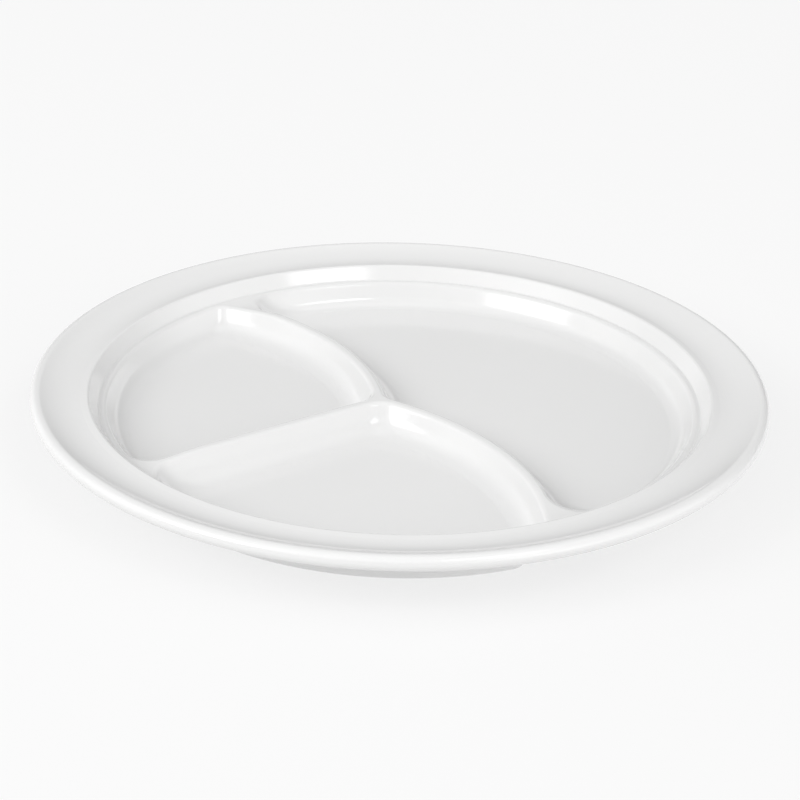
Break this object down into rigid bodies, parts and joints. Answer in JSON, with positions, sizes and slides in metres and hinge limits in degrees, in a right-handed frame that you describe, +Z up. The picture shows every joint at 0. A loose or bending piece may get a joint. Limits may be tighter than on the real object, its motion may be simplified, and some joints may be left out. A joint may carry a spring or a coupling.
{
  "type": "divided compartment plate",
  "caption": "Round white divided plate with a rolled lip, a stepped ledge and rounded compartments parted by bowed dividers, standing on foot rims.",
  "frame": {"origin": "On the table at the centre of the plate, under the middle of the round lip.", "axes": "+Z is up, the straight divider runs from the hub along -Y, the large well lies on the +Y side and +X is the right small well's side."},
  "size_m": [0.26, 0.26, 0.0246],
  "materials": {
    "melamine": "satin gloss"
  },
  "bodies": {
    "root": {"lip": "melamine", "rim": "melamine", "shelf": "melamine", "well_large": "melamine", "well_left": "melamine", "well_right": "melamine", "floor_large": "melamine", "floor_left": "melamine", "floor_right": "melamine", "foot_large": "melamine", "foot_left": "melamine", "foot_right": "melamine", "divider_left": "melamine", "divider_right": "melamine", "divider_middle": "melamine"}
  },
  "joints": []
}
